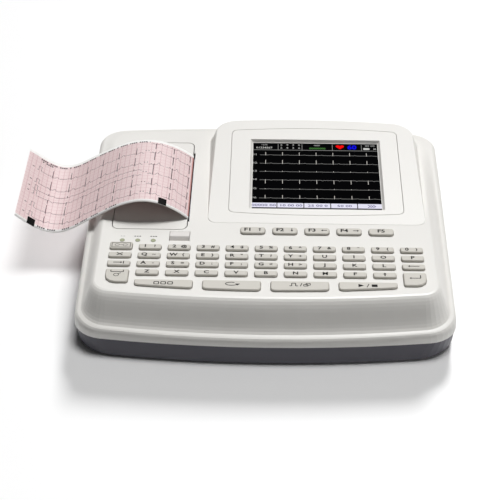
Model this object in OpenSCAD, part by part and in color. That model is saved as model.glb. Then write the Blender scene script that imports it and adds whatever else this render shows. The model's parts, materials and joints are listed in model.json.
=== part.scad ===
// Six-channel ECG recorder with a built-in keyboard, a tilted display and a roll-fed thermal printer.
// Millimetres, +Z up. The origin lies on the bench, under the middle of the housing.

/* [Housing] */
// Width of the housing at the parting line
body_w = 334; // [326:1:345]
// Depth of the housing at the parting line
body_d = 294; // [288:1:306]
// Height of the bench-side face of the base tray, carried by the feet
base_lift = 2; // [1.5:0.25:4]
// Height of the parting line between base tray and top housing
parting_h = 20; // [18:0.5:22]
// Height of the deck at the middle of the housing
deck_h = 63; // [61:0.5:68]
// Tilt of the keyboard deck
deck_tilt = 4; // [3:0.25:5]
// Wall of the moulded shells
wall = 2.5; // [2:0.1:3]
// Distance from the parting line in to the edge of the deck, at the front
cove_run_front = 23; // [19:0.5:25]
// Distance from the parting line in to the edge of the deck, at the sides
cove_run_side = 15.5; // [13:0.5:16]
// Height of the rim crest at the front
rim_h = 28; // [26:0.5:31]
// Slope of the rim crest along the sides
rim_tilt = 9.75; // [8:0.25:10.5]
// Corner radius of the housing in plan
corner_r = 24; // [18:1:30]

/* [Display] */
// Middle of the display, right of the middle of the housing
pod_x = 46; // [42:1:48]
// Width of the raised display wedge at its foot
pod_w = 201; // [196:1:206]
// Front end of the display wedge
pod_front = -15; // [-18:1:-12]
// Tilt of the display
pod_tilt = 10; // [9:0.25:11]
// Width of the bezel insert
bezel_w = 162; // [154:1:168]
// Length of the bezel insert up the slope
bezel_l = 127.5; // [124:0.5:130]
// Width of the window in the bezel
window_w = 126.5; // [120:0.5:138]
// Length of the window in the bezel
window_l = 102; // [94:1:106]
// Thickness of the bezel insert
bezel_t = 3; // [2.5:0.25:3.5]
// Thickness of the clear window
glass_t = 1.5; // [1:0.25:2]
// Thickness of the LCD module
lcd_t = 7; // [5:0.5:8]

/* [Keys] */
// Pitch of the key columns
key_pitch_x = 26; // [25:0.1:26.5]
// Pitch of the key rows
key_pitch_y = 12.1; // [11.5:0.1:12.6]
// Width of a character key
key_w = 20; // [17:0.5:21]
// Depth of a character key
key_d = 7.2; // [6:0.1:8]
// How far the keys stand out of the deck
key_proud = 2; // [1.6:0.1:3]
// Key travel
key_travel = 1; // [0.6:0.1:1.4]
// Clearance round each key
key_gap = 0.4; // [0.35:0.05:0.6]
// Front edge of the digit row
key_row_y = -58; // [-60:0.5:-56]
// Width of a function key
fkey_w = 22.4; // [20:0.2:24]
// Depth of a function key
fkey_d = 9.6; // [8:0.2:11]
// Pitch of the function keys
fkey_pitch = 29.2; // [27:0.1:30]
// Front edge of the function keys
fkey_y = -32.8; // [-35:0.2:-31]
// Width of a command key
wide_key_w = 50.5; // [44:0.5:52]
// Pitch of the command keys
wide_key_pitch = 59.1; // [58:0.1:60]

/* [Printer] */
// Width of the recording paper
paper_w = 105; // [100:1:107]
// Radius of a full paper roll
roll_r = 22.5; // [18:0.5:24]
// Radius of the core of the paper roll
core_r = 8; // [6:0.5:10]
// Length of paper that hangs out of the slot, measured flat
strip_run = 160.5; // [140:0.5:175]
// Thickness of the modelled paper
paper_t = 0.25; // [0.2:0.05:0.4]
// Left edge of the paper lid
lid_left = -141; // [-143:0.5:-140]
// Right edge of the paper lid
lid_right = -73; // [-74:0.5:-72]
// Front edge of the paper lid
lid_front = -26; // [-28:0.5:-24]
// Back edge of the paper lid
lid_back = 117; // [115:0.5:119]
// Gap round the paper lid
lid_gap = 0.8; // [0.7:0.1:1]
// Width of the slot that the paper leaves by
slot_w = 2.2; // [1.8:0.1:2.8]
// Radius of the platen roller
platen_r = 6; // [5.5:0.1:6.2]
// Radius of the platen shaft
shaft_r = 2.5; // [2:0.1:3]
// Module of the printer gears
gear_m = 1; // [0.95:0.05:1]
/* [Connectors] */
// Width of the rear connector panel
rear_panel_w = 88; // [84:1:92]
// Height of the rear connector panel
rear_panel_h = 32; // [30:1:34]
// Middle of the rear connector panel
rear_panel_x = 92; // [88:1:96]
// Length of the side connector panel
side_panel_l = 92; // [88:1:96]
// Height of the side connector panel
side_panel_h = 21; // [20:0.5:22]
// Middle of the side connector panel
side_panel_y = 62; // [56:1:66]
// Thickness of the connector panels
panel_t = 2; // [1.5:0.25:2.5]
// Length of the equipotential stud outside its panel
stud_l = 12; // [10:1:14]

/* [Inside] */
// Thickness of the circuit boards
board_t = 1.6; // [1.2:0.2:2]
// Length of the battery pack
battery_w = 110; // [100:1:114]
// Depth of the battery pack
battery_d = 70; // [60:1:74]
// Height of the battery pack
battery_h = 17; // [15:0.5:19]
// Diameter of the stepper motor
motor_d = 35; // [30:1:36]
// Length of the stepper motor
motor_l = 20; // [16:1:22]
// Radius of the case screws
screw_r = 1.5; // [1.25:0.25:1.5]
// Radius of a rubber foot
foot_r = 8; // [6:0.5:9]

/* [Hidden] */

fit = 0.05; // radial clearance of a running fit
seat = 0.3; // gap between pieces that slide past each other
cut = 1; // overshoot of a cut past a face

shell_white = [0.93, 0.93, 0.91];
base_grey = [0.27, 0.27, 0.31];
key_beige = [0.83, 0.81, 0.77];
steel = [0.72, 0.73, 0.75];
board_green = [0.1, 0.35, 0.2];

// ---- Plan outline: a rounded rectangle with bowed front and back edges ----
// A form is [half width, front, back, front radius, back radius, front bow, back bow, taper].
// Steps along a bowed edge, a straight side and a corner.
fine = [10, 4, 7];
coarse = [5, 1, 3];

function corner(x, y, r, a, n) =
  [for (i = [0 : n]) [x + r * cos(a + 90 * i / n), y + r * sin(a + 90 * i / n)]];
function between(p, q, n) = n < 2 ? [] : [for (i = [1 : n - 1]) p + (q - p) * i / n];

function plain_outline(f, steps) =
  let (w = f[0], y0 = f[1], y1 = f[2], r0 = f[3], r1 = f[4], e = steps[0], s = steps[1], c = steps[2])
  concat(
    corner(-w + r0, y0 + r0, r0, 180, c),
    between([-w + r0, y0], [w - r0, y0], e),
    corner(w - r0, y0 + r0, r0, 270, c),
    between([w, y0 + r0], [w, y1 - r1], s),
    corner(w - r1, y1 - r1, r1, 0, c),
    between([w - r1, y1], [-w + r1, y1], e),
    corner(-w + r1, y1 - r1, r1, 90, c),
    between([-w, y1 - r1], [-w, y0 + r0], s)
  );

// Bows the front and back edges of an outline and widens it towards the back.
function bowed(p, f) =
  let (mid = (f[1] + f[2]) / 2, half = (f[2] - f[1]) / 2, u = p.x / f[0], v = (p.y - mid) / half)
  [p.x + f[7] * p.y * u, p.y - u * u * (v < 0 ? f[5] : f[6]) * v];

function outline(f, steps = fine) = [for (p = plain_outline(f, steps)) bowed(p, f)];
function inset(f, d) = [f[0] - d, f[1] + d, f[2] - d, max(f[3] - d, 1), max(f[4] - d, 1), f[5], f[6], f[7]];

function sum(list, i = 0) = i == len(list) - 1 ? list[i] : list[i] + sum(list, i + 1);
function middle(ring) = sum(ring) / len(ring);

// Skins a stack of rings that all have the same number of points, from the lowest to the highest.
module loft(rings) {
  n = len(rings[0]);
  last = len(rings) - 1;
  low = n * len(rings);
  polyhedron(
    points = concat([for (ring = rings) each ring], [middle(rings[0]), middle(rings[last])]),
    faces = concat(
      [for (i = [0 : n - 1]) [low, i, (i + 1) % n]],
      [for (k = [0 : last - 1], i = [0 : n - 1]) each
        let (j = (i + 1) % n, a = k * n) [[a + i, a + n + i, a + n + j], [a + i, a + n + j, a + j]]],
      [for (i = [0 : n - 1]) [low + 1, last * n + (i + 1) % n, last * n + i]]
    )
  );
}

// ---- Surfaces of the housing ----
function deck_z(y) = deck_h + tan(deck_tilt) * y;
rim_drop = 0.8; // the rim never rises closer to the deck than this
rim_front_y = -body_d / 2 + 4;
function rim_z(y) = min(rim_h + tan(rim_tilt) * (y - rim_front_y), deck_z(y) - rim_drop);

part_form = [body_w / 2, -body_d / 2, body_d / 2, corner_r, corner_r - 2, 13, 8.5, 0.003];
crest_form = part_form + [-4.2, 4, -1, -1, -2, -1.5, 0, 0];
deck_form = [body_w / 2 - cove_run_side, -body_d / 2 + cove_run_front, body_d / 2 - 6,
  corner_r - 10, corner_r - 8, 9.5, 8, 0.003];

// S-curve from the rim crest (0, 0) up to the deck (1.2, 1): hollow at the foot and round at the top.
function cove(t) =
  [3 * (1 - t) * (1 - t) * t * 0.5 + 3 * (1 - t) * t * t * 0.65 + t * t * t * 1.2, 3 * (1 - t) * t * t + t * t * t];
// The skirt turns over into the rim crest along a quarter circle.
shoulder_h = 6;
function shoulder(t) = [1 - cos(90 * t), -shoulder_h * (1 - sin(90 * t))];

skirt_steps = 4;
cove_steps = 12;
function skirt_ring(t) =
  let (s = shoulder(t), f = part_form + (crest_form - part_form) * s[0])
  [for (p = outline(f)) [p.x, p.y, rim_z(p.y) + s[1]]];
function cove_form(t) = crest_form + (deck_form - crest_form) * cove(t)[0];
function cove_ring(t) =
  let (c = cove(t)) [for (p = outline(cove_form(t))) [p.x, p.y, rim_z(p.y) * (1 - c[1]) + (deck_z(p.y) + trim) * c[1]]];
function raised(ring, h) = [for (p = ring) [p.x, p.y, p.z + h]];
trim = 0.05; // the lofts stand this far over the planes that trim them
shell_rings = concat(
  [[for (p = outline(part_form)) [p.x, p.y, parting_h]]],
  [for (i = [0 : skirt_steps]) skirt_ring(i / skirt_steps)],
  [for (i = [1 : cove_steps]) cove_ring(i / cove_steps)],
  [raised(cove_ring(1), cut)]
);

// ---- Display wedge ----
pod_step = 0.15; // height of the wedge over the deck at its front end
pod_back = body_d / 2 - 3.5;
pod_flank = 8; // run of the flank where the wedge is highest
pod_wall = 6; // thickness of the wedge round the display
rest_t = 1.8; // rib under the front edge of the bezel
function pod_z(y) = deck_z(pod_front) + pod_step + tan(pod_tilt) * (y - pod_front);
pod_top_h = pod_z(pod_back) - deck_z(pod_back);
pod_form = [pod_w / 2, pod_front, pod_back, 8, 20, 0, 4, 0.02];

function pod_point(p, t) =
  let (c = cove(t), rise = max(pod_z(p.y) - deck_z(p.y), 0), run = pod_flank * c[0] / 1.2 * rise / pod_top_h,
    u = p.x / (pod_w / 2), back = max((p.y - 40) / (pod_back - 40), 0),
    x = pod_x + p.x - u * run, y = p.y - back * run)
  [x, y - 5 * pow(x / (body_w / 2), 2) * back, deck_z(y) * (1 - c[1]) + (pod_z(y) + 4 * trim) * c[1]];
function pod_ring(t) = [for (p = outline(pod_form)) pod_point(p, t)];
pod_steps = 6;
pod_rings = concat(
  [raised(pod_ring(0), -1.5)],
  [for (i = [0 : pod_steps]) pod_ring(i / pod_steps)],
  [raised(pod_ring(1), 2 * cut)]
);

// ---- Places ----
// On the deck: x across, y up the deck, z out of it.
module on_deck() translate([0, 0, deck_h]) rotate([deck_tilt, 0, 0]) children();
// On the display: x from the middle of the wedge, y up the slope from the middle of the housing.
module on_display() translate([pod_x, 0, pod_z(0)]) rotate([pod_tilt, 0, 0]) children();
// Turns a z-long shape to run along the deck's y axis from y.
module along_deck(x, y, z) translate([x, y, z]) rotate([-90, 0, 0]) children();

window_x = 0.8; // middle of the window, right of the middle of the wedge
window_y = 55.7; // middle of the window up the slope
bezel_y = 60.2;
bezel_gap = 0.5; // groove round the bezel
bezel_form = [bezel_w / 2, -bezel_l / 2, bezel_l / 2, 5, 5, 3.3, 4.2, -0.003];

module plate(form, z0, z1) translate([0, 0, z0]) linear_extrude(z1 - z0) polygon(outline(form));
module box(x0, x1, y0, y1, z0, z1) translate([x0, y0, z0]) cube([x1 - x0, y1 - y0, z1 - z0]);
module post(x, y, z0, z1, r) translate([x, y, z0]) cylinder(h = z1 - z0, r = r, $fn = 24);

// ---- Keys ----
function column(c) = (c - 5) * key_pitch_x;
function row_y(r) = key_row_y - r * key_pitch_y;
key_steps = 3; // facets of a key's corner
flange = 0.8; // lip that keeps a key under the deck
flange_t = 0.9;
key_foot = -wall - seat - flange_t; // lowest face of a key at rest
board_top = key_foot - key_travel - 0.4;
wide_back = -101; // back edge of the command keys
wide_front = -114; // front edge of the command keys at the middle of the deck
wide_bow = 5.5; // how far that edge falls back at a distance of wide_bow_x
wide_bow_x = 111;
space_front = -105;
key_edge = 0.7; // rounding of a key's top edge
power_d = 2.8; // how much deeper the power key is than the others
power_frame = 1.5; // width of the frame on the power key
power_groove = 0.6; // width and depth of the groove inside that frame

// A key is [x0, x1, y0, y1, corner radii from front left, anticlockwise, bow of its front edge].
function small_key(c, r) =
  [column(c) - key_w / 2, column(c) + key_w / 2, row_y(r), row_y(r) + key_d, [2, 2, 1.2, 1.2], 0];
function space_key(c, radii) =
  [column(c) - key_w / 2, column(c) + key_w / 2, space_front, row_y(3) + key_d, radii, 0];
function power_key() = small_key(0, 0) + [0, 0, 0, power_d, [0, 0, 0, 0], 0];
function f_key(i) =
  let (x = pod_x + (i - 2) * fkey_pitch)
  [x - fkey_w / 2, x + fkey_w / 2, fkey_y, fkey_y + fkey_d, [3, 3, 2, 2], 0];
function wide_key(i) =
  let (x = (i - 1.5) * wide_key_pitch)
  [x - wide_key_w / 2, x + wide_key_w / 2, wide_front, wide_back, [3.5, 3.5, 1.5, 1.5], wide_bow];

function key_arc(x, y, r, a) =
  [for (i = [0 : key_steps]) [x + r * cos(a + 90 * i / key_steps), y + r * sin(a + 90 * i / key_steps)]];
// Outline of a key, grown by d all round.
function key_outline(k, d) =
  let (x0 = k[0] - d, x1 = k[1] + d, y0 = k[2] - d, y1 = k[3] + d,
    r = [for (v = k[4]) max(v + d, 0.3)],
    flat = concat(
      key_arc(x0 + r[0], y0 + r[0], r[0], 180),
      k[5] > 0 ? between([x0 + r[0], y0], [x1 - r[1], y0], 4) : [],
      key_arc(x1 - r[1], y0 + r[1], r[1], 270),
      key_arc(x1 - r[2], y1 - r[2], r[2], 0),
      key_arc(x0 + r[3], y1 - r[3], r[3], 90)))
  [for (p = flat) [p.x, p.y + k[5] * pow(p.x / wide_bow_x, 2) * (y1 - p.y) / (y1 - y0)]];
function key_ring(k, d, z) = [for (p = key_outline(k, d)) [p.x, p.y, z]];

module key_cap(k) on_deck() {
  translate([0, 0, key_foot]) linear_extrude(flange_t) polygon(key_outline(k, flange));
  translate([0, 0, key_foot]) linear_extrude(key_proud - key_edge - key_foot) polygon(key_outline(k, 0));
  loft([key_ring(k, 0, key_proud - key_edge), key_ring(k, -key_edge, key_proud)]);
}
module framed_key_cap(k) difference() {
  key_cap(k);
  on_deck() translate([0, 0, key_proud - power_groove]) linear_extrude(cut) difference() {
    polygon(key_outline(k, -power_frame));
    polygon(key_outline(k, -power_frame - power_groove));
  }
}
module key_hole(k) translate([0, 0, -wall - cut])
  linear_extrude(wall + 2 * cut) polygon(key_outline(k, key_gap));

enter_radii = [2, 9, 1.2, 1.2];
space_radii = [9, 2, 1.2, 1.2];
all_keys = concat(
  [power_key()],
  [for (c = [1 : 10]) small_key(c, 0)],
  [for (c = [0 : 10]) small_key(c, 1)],
  [for (c = [0 : 10]) small_key(c, 2)],
  [for (c = [1 : 9]) small_key(c, 3)],
  [space_key(0, space_radii), space_key(10, enter_radii)],
  [for (i = [0 : 4]) f_key(i)],
  [for (i = [0 : 3]) wide_key(i)]
);

// ---- Printer ----
lid_r = 6; // corner radius of the lid
lid_t = 2.4;
lid_form = [(lid_right - lid_left) / 2, lid_front, lid_back, lid_r, lid_r, 0, 0, 0];
lid_x = (lid_left + lid_right) / 2;
slot_room = 4; // how much longer the slot is than the paper is wide, at each end
slot_edge = lid_right + slot_w; // edge of the housing beside the slot
hinge_x = lid_left + 7;
hinge_r = 1.25;
barrel_r = 2.6;
hinge_z = -barrel_r;
paper_y = (lid_front + lid_back) / 2 - 3.2; // middle of the paper along the deck
platen_x = lid_right - 5.4;
platen_z = -9;
platen_l = paper_w + 2;
arm_t = 3.2; // thickness of the lid's arms
arm_gap = 0.5; // between the platen and an arm
roll_x = -108;
trough_r = roll_r + 2.5;
roll_z = -lid_t - 4.6 - roll_r;
trough_z = roll_z - seat + trough_r - roll_r;
tray_x0 = -144.8;
tray_x1 = slot_edge + 9.8;
tray_wall = 2.5;
tray_y0 = lid_front - 3.2;
tray_y1 = paper_y + paper_w / 2 + 5;
tray_z0 = trough_z - trough_r - tray_wall;
pin_y0 = tray_y0 + 1.2;
pin_l = lid_back + 6 - pin_y0;
head_x0 = platen_x + platen_r + 0.8;
head_x1 = tray_x1 - tray_wall;

// ---- Gear train: platen, idler and pinion, in the plane behind the lid's back arm ----
gear_t = 5;
gear_y = paper_y + platen_l / 2 + arm_gap + arm_t + 1;
plate_y = gear_y + gear_t + 0.7; // front of the motor plate
plate_t = 2;
platen_teeth = 9;
idler_teeth = 18;
pinion_teeth = 10;
idler_angle = -50;
pinion_angle = -20;
function turned(p, r, a) = [p[0] + r * cos(a), p[1] + r * sin(a)];
idler_at = turned([platen_x, platen_z], (platen_teeth + idler_teeth) / 2 * gear_m, idler_angle);
pinion_at = turned(idler_at, (idler_teeth + pinion_teeth) / 2 * gear_m, pinion_angle);

// Outline of a spur gear with straight-flanked teeth, slightly thin for backlash.
tooth_share = 0.42; // tooth thickness at the pitch circle, as a share of the pitch
addendum = 0.85;
dedendum = 1.2;
function gear_outline(teeth, phase) =
  let (r = teeth * gear_m / 2, step = 360 / teeth, half = step * tooth_share / 2,
    ra = r + addendum * gear_m, rd = r - dedendum * gear_m,
    lean = 20 * gear_m / r) // a tooth narrows towards its tip
  [for (i = [0 : teeth - 1]) each
    let (a = phase + i * step)
    [for (q = [[rd, -half - lean * 0.55], [r, -half], [ra, -half + lean * 0.75],
      [ra, half - lean * 0.75], [r, half], [rd, half + lean * 0.55]])
      [q[0] * cos(a + q[1]), q[0] * sin(a + q[1])]]];
// A gear's tooth, or a gap, faces its neighbour along the line of centres.
platen_phase = idler_angle;
idler_phase = idler_angle + 180 + 180 / idler_teeth;
pinion_phase = pinion_angle + 180 + 180 / pinion_teeth
  + (pinion_angle - idler_phase) * idler_teeth / pinion_teeth;

module gear(at, teeth, phase, bore) on_deck()
  translate([at[0], gear_y, at[1]]) rotate([90, 0, 0]) mirror([0, 0, 1])
    linear_extrude(gear_t) difference() {
      polygon(gear_outline(teeth, phase));
      circle(r = bore, $fn = 32);
    }

// ---- Housing ----
screw_spots = [[-140, -112], [140, -112], [-150, 30], [150, 125], [-148, 118], [0, -118], [20, 128]];
post_r = 4.5;
board_posts = [[-59.6, -107], [0, -107], [59.6, -107], [-20, -41.5], [40, -41.5], [120, -41.5]];
inner_foot_z = parting_h - cut;

rear_face_y = body_d / 2 - 8.5; // outer face of the rear panel
side_face_x = body_w / 2 - 2.2; // outer face of the side panel
rear_panel_z = 40;
side_panel_z = 36.5;
panel_frame = 2.5; // wall round a panel's opening
ledge = 1.5; // width of the ledge that a panel rests on
ledge_t = 1.5;
rear_inner_y = rear_face_y - panel_t;
side_inner_x = side_face_x - panel_t;

module panel_zone_rear(d, y0) box(rear_panel_x - rear_panel_w / 2 - d, rear_panel_x + rear_panel_w / 2 + d,
  y0, body_d, rear_panel_z - rear_panel_h / 2 - d, rear_panel_z + rear_panel_h / 2 + d);
module panel_zone_side(d, x0) box(x0, body_w, side_panel_y - side_panel_l / 2 - d,
  side_panel_y + side_panel_l / 2 + d, side_panel_z - side_panel_h / 2 - d, side_panel_z + side_panel_h / 2 + d);

button_x0 = -87.4;
button_x1 = -69.6;
button_y0 = -43;
button_y1 = -29.8;
button_gap = 0.4;
well_t = 2.2; // from the button to the outside of its well
well_floor = -14;
led_x = [-130, -116, -102];
led_y = -43.5;
led_r = 2.2;

module lid_opening(z0, z1) translate([lid_x, 0, z0]) linear_extrude(z1 - z0) union() {
  polygon(outline(inset(lid_form, -lid_gap)));
  translate([0, paper_y - paper_w / 2 - slot_room]) square([slot_edge - lid_x, paper_w + 2 * slot_room]);
}

module above_deck(z) on_deck() box(-body_w, body_w, -body_d, body_d, z, 100);
module above_display(z) on_display() box(-body_w, body_w, -body_d, body_d, z, 100);
module outer_solid() {
  difference() {
    loft(shell_rings);
    above_deck(0);
  }
  difference() {
    loft(pod_rings);
    above_display(0);
  }
}

// Room inside the shell, under the surface that the cove has at t: a plane, like the rim and the deck.
module room(t) {
  c = cove(t);
  difference() {
    translate([0, 0, parting_h - cut]) linear_extrude(100)
      polygon(outline(inset(cove_form(t), wall + 1), coarse));
    translate([0, 0, (rim_h - tan(rim_tilt) * rim_front_y) * (1 - c[1]) + deck_h * c[1] - wall])
      rotate([atan(tan(rim_tilt) * (1 - c[1]) + tan(deck_tilt) * c[1]), 0, 0])
        box(-body_w, body_w, -body_d, body_d, 0, 100);
    if (t < 1) above_deck(-wall - rim_drop);
  }
}
module display_room() difference() {
  translate([pod_x, 0, parting_h]) linear_extrude(100)
    polygon(outline(inset(pod_form, pod_flank + wall), coarse));
  above_display(-pod_wall);
  box(-body_w, body_w, -body_d, pod_front + 14, 0, 200);
}
// Everything of the housing that stands inside the rooms
module inner_features() {
  panel_zone_rear(panel_frame, rear_inner_y - ledge_t);
  panel_zone_side(panel_frame, side_inner_x - ledge_t);
  for (s = screw_spots) post(s.x, s.y, parting_h, 100, post_r);
  on_deck() {
    for (p = board_posts) post(p.x, p.y, board_top, 0, 2.1);
    for (y = [pin_y0 - 0.2, lid_back + lid_gap]) box(hinge_x - 4, hinge_x + 4, y, y + 6, -2 * barrel_r, 0);
    box(button_x0 - well_t, button_x1 + well_t, button_y0 - well_t, button_y1 + button_gap, well_floor - 2, 0);
    box(pod_x - bezel_w / 2 - 4, pod_x + bezel_w / 2 + 4, bezel_y - bezel_l / 2 - 6, bezel_y - bezel_l / 2 + 2,
      -wall - rest_t, 0);
  }
}

module top_housing() color(shell_white) difference() {
  outer_solid();
  difference() {
    union() {
      for (t = [0, 0.5, 1]) room(t);
      display_room();
    }
    inner_features();
  }
  panel_zone_rear(0, rear_inner_y);
  panel_zone_rear(-ledge, rear_inner_y - 5);
  panel_zone_side(0, side_inner_x);
  panel_zone_side(-ledge, side_inner_x - 5);
  for (s = screw_spots) post(s.x, s.y, parting_h - cut, 34, screw_r + 0.15);
  on_deck() {
    lid_opening(-30, cut);
    for (k = all_keys) key_hole(k);
    box(button_x0 - button_gap, button_x1 + button_gap, button_y0 - button_gap, button_y1 + button_gap, well_floor, cut);
    for (x = led_x) post(x, led_y, -wall - cut, cut, led_r + 0.1);
    along_deck(hinge_x, pin_y0, hinge_z) cylinder(h = pin_l, r = hinge_r, $fn = 48);
  }
  on_display() {
    translate([0, bezel_y, 0]) plate(inset(bezel_form, -bezel_gap), -bezel_t, 20);
    translate([window_x, window_y, -pod_wall - 5])
      linear_extrude(20) square([window_w + 8, window_l + 6], center = true);
  }
}

function base_ring(d, extra, z) =
  let (f = inset(part_form, d), g = [f[0], f[1], f[2], part_form[3] + extra, part_form[4] + extra, f[5], f[6], f[7]])
  [for (p = outline(g)) [p.x, p.y, z]];

floor_z = base_lift + wall;
battery_x = 66;
battery_y = -72;
cover_w = battery_w + 10;
cover_d = battery_d + 8;
cover_gap = 0.3;
main_board_form = [-30, 138, -28, 62]; // x0, x1, y0, y1
power_board_form = [-22, 66, 66, 120];
board_z = 12; // underside of the main board
power_z = 9;
speaker_at = [-112, -92];
speaker_r = 20;
foot_at = [[-138, -108], [138, -108], [-138, 112], [138, 112]];
foot_sink = 1;
main_posts = [[-24, -22], [132, -22], [-24, 56], [132, 56]];
power_posts = [[-17, 71], [61, 71], [-17, 115], [61, 115]];

module base_tray() color(base_grey) difference() {
  union() {
    difference() {
      loft([
        base_ring(2.2, 8, base_lift),
        base_ring(1.2, 8, base_lift + 0.6),
        base_ring(0.9, 7.6, base_lift + 2),
        base_ring(0.5, 1, parting_h - 1.5),
        base_ring(0.5, 0, parting_h)
      ]);
      translate([0, 0, floor_z]) linear_extrude(parting_h)
        polygon([for (p = base_ring(wall + 2, 5, 0)) [p.x, p.y]]);
    }
    for (s = screw_spots) post(s.x, s.y, floor_z - cut, parting_h, post_r);
    for (p = main_posts) post(p.x, p.y, floor_z - cut, board_z, 3.5);
    for (p = power_posts) post(p.x, p.y, floor_z - cut, power_z, 3.5);
    difference() {
      post(speaker_at.x, speaker_at.y, floor_z - cut, floor_z + 3, speaker_r + 2);
      post(speaker_at.x, speaker_at.y, floor_z, floor_z + 4, speaker_r);
    }
    box(battery_x - cover_w / 2 - 2, battery_x + cover_w / 2 + 2, battery_y - cover_d / 2 - 2,
      battery_y + cover_d / 2 + 2, floor_z - cut, floor_z + 5);
  }
  box(battery_x - cover_w / 2, battery_x + cover_w / 2, battery_y - cover_d / 2,
    battery_y + cover_d / 2, base_lift - cut, floor_z + 6);
  for (s = screw_spots) {
    post(s.x, s.y, base_lift - cut, parting_h + cut, screw_r + 0.15);
    post(s.x, s.y, base_lift - cut, base_lift + 3, 3.2);
  }
  for (f = foot_at) post(f.x, f.y, base_lift - cut, base_lift + foot_sink, foot_r + 0.1);
  for (i = [-3 : 3])
    box(speaker_at.x - 13, speaker_at.x + 13, speaker_at.y + 4 * i - 0.8, speaker_at.y + 4 * i + 0.8, 0, floor_z + 1);
}

// ---- Display ----
module screen_bezel() color(shell_white) on_display() difference() {
  translate([0, bezel_y, 0]) plate(bezel_form, -bezel_t, 0);
  translate([window_x, window_y, 0]) {
    linear_extrude(20, center = true) square([window_w - 5, window_l - 5], center = true);
    hull() {
      translate([0, 0, 0.1]) cube([window_w, window_l, 0.2], center = true);
      translate([0, 0, -bezel_t + 0.6]) cube([window_w - 4, window_l - 4, 0.2], center = true);
    }
  }
}
module display_window() color([0.06, 0.06, 0.08]) on_display()
  translate([window_x, window_y, -bezel_t - glass_t / 2]) cube([window_w + 7, window_l + 5, glass_t], center = true);
module lcd_module() color([0.12, 0.12, 0.13]) on_display() translate([window_x, window_y, 0]) {
  rise = pod_wall - bezel_t - glass_t;
  translate([0, 0, -pod_wall + rise / 2]) cube([window_w, window_l, rise], center = true);
  translate([0, 0, -pod_wall - lcd_t / 2]) cube([window_w + 16, window_l + 10, lcd_t], center = true);
}

// ---- Printer ----
module paper_tray() color([0.86, 0.86, 0.84]) on_deck() difference() {
  union() {
    box(tray_x0, tray_x1, tray_y0, tray_y1, tray_z0, -wall);
    box(roll_x + trough_r, roll_x + trough_r + tray_wall, tray_y1 - cut, plate_y + plate_t, plate_z0, plate_z1);
    box(roll_x + trough_r, plate_x1, plate_y, plate_y + plate_t, plate_z0, plate_z1);
  }
  along_deck(idler_at[0], plate_y - cut, idler_at[1]) cylinder(h = cut + 1.2, r = 2, $fn = 48);
  along_deck(pinion_at[0], plate_y - cut, pinion_at[1]) cylinder(h = plate_t + 2 * cut, r = 3, $fn = 32);
  box(hinge_x - 4, hinge_x + 4, tray_y0 - cut, tray_y0 + tray_wall + cut, -2 * barrel_r, 0);
  along_deck(roll_x, paper_y - paper_w / 2 - 1, trough_z) cylinder(h = paper_w + 2, r = trough_r, $fn = 96);
  box(roll_x - trough_r, roll_x + trough_r, paper_y - paper_w / 2 - 1, paper_y + paper_w / 2 + 1, trough_z, cut);
  box(tray_x0 + tray_wall, tray_x1 - tray_wall, tray_y0 + tray_wall, tray_y1 + cut, -19, cut);
  // Hollow under the trough's upper corners
  box(tray_x0 - cut, roll_x - trough_r - tray_wall, tray_y0 - cut, tray_y1 + cut, tray_z0 - cut, -21);
  box(roll_x + trough_r + tray_wall, tray_x1 + cut, tray_y0 - cut, tray_y1 + cut, tray_z0 - cut, -21);
  box(tray_x0 - cut, tray_x1 + cut, tray_y0 - cut, paper_y - paper_w / 2 - 3.5, tray_z0 - cut, -21);
}

plate_x1 = -38;
plate_z0 = -44;
plate_z1 = -16.5;

lid_arm_y = [paper_y - platen_l / 2 - arm_gap - arm_t, paper_y + platen_l / 2 + arm_gap];
module paper_lid() color(shell_white) on_deck() difference() {
  union() {
    translate([lid_x, 0, 0]) plate(lid_form, -lid_t, 0);
    translate([lid_x, 0, 0]) difference() {
      plate(inset(lid_form, 2), -5, -lid_t + 0.5);
      translate([0, 0, -0.01]) plate(inset(lid_form, 3.6), -6, -lid_t);
      box(-50, hinge_x + 4 - lid_x, -200, 200, -6, -lid_t);
      box(lid_right - 5 - lid_x, 50, -200, 200, -6, -lid_t);
    }
    along_deck(hinge_x, lid_front, hinge_z) cylinder(h = lid_back - lid_front, r = barrel_r, $fn = 48);
    for (y = lid_arm_y) {
      box(platen_x - 5, platen_x + 5, y, y + arm_t, platen_z, -lid_t + 0.5);
      along_deck(platen_x, y, platen_z) cylinder(h = arm_t, r = 5, $fn = 48);
    }
    for (y = [10, 76]) box(hinge_x, platen_x - 8, y, y + 1.6, -4.4, -lid_t + 0.5);
  }
  along_deck(hinge_x, lid_front - cut, hinge_z) cylinder(h = lid_back - lid_front + 2 * cut, r = hinge_r + fit, $fn = 48);
  for (y = lid_arm_y)
    along_deck(platen_x, y - cut, platen_z) cylinder(h = arm_t + 2 * cut, r = shaft_r + fit, $fn = 48);
}
module lid_hinge_pin() color(steel) on_deck()
  along_deck(hinge_x, pin_y0, hinge_z) cylinder(h = pin_l, r = hinge_r, $fn = 48);
module platen_roller() color([0.15, 0.15, 0.16]) on_deck()
  along_deck(platen_x, paper_y - platen_l / 2, platen_z) difference() {
    cylinder(h = platen_l, r = platen_r, $fn = 64);
    translate([0, 0, -cut]) cylinder(h = platen_l + 2 * cut, r = shaft_r, $fn = 48);
  }
module platen_shaft() color(steel) on_deck()
  along_deck(platen_x, lid_arm_y[0] - 2, platen_z)
    cylinder(h = gear_y + gear_t + 1 - lid_arm_y[0] + 2, r = shaft_r, $fn = 48);
module platen_gear() color([0.92, 0.9, 0.82])
  gear([platen_x, platen_z], platen_teeth, platen_phase, shaft_r);
module idler_gear() color([0.92, 0.9, 0.82]) gear(idler_at, idler_teeth, idler_phase, 2 + fit);
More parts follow.
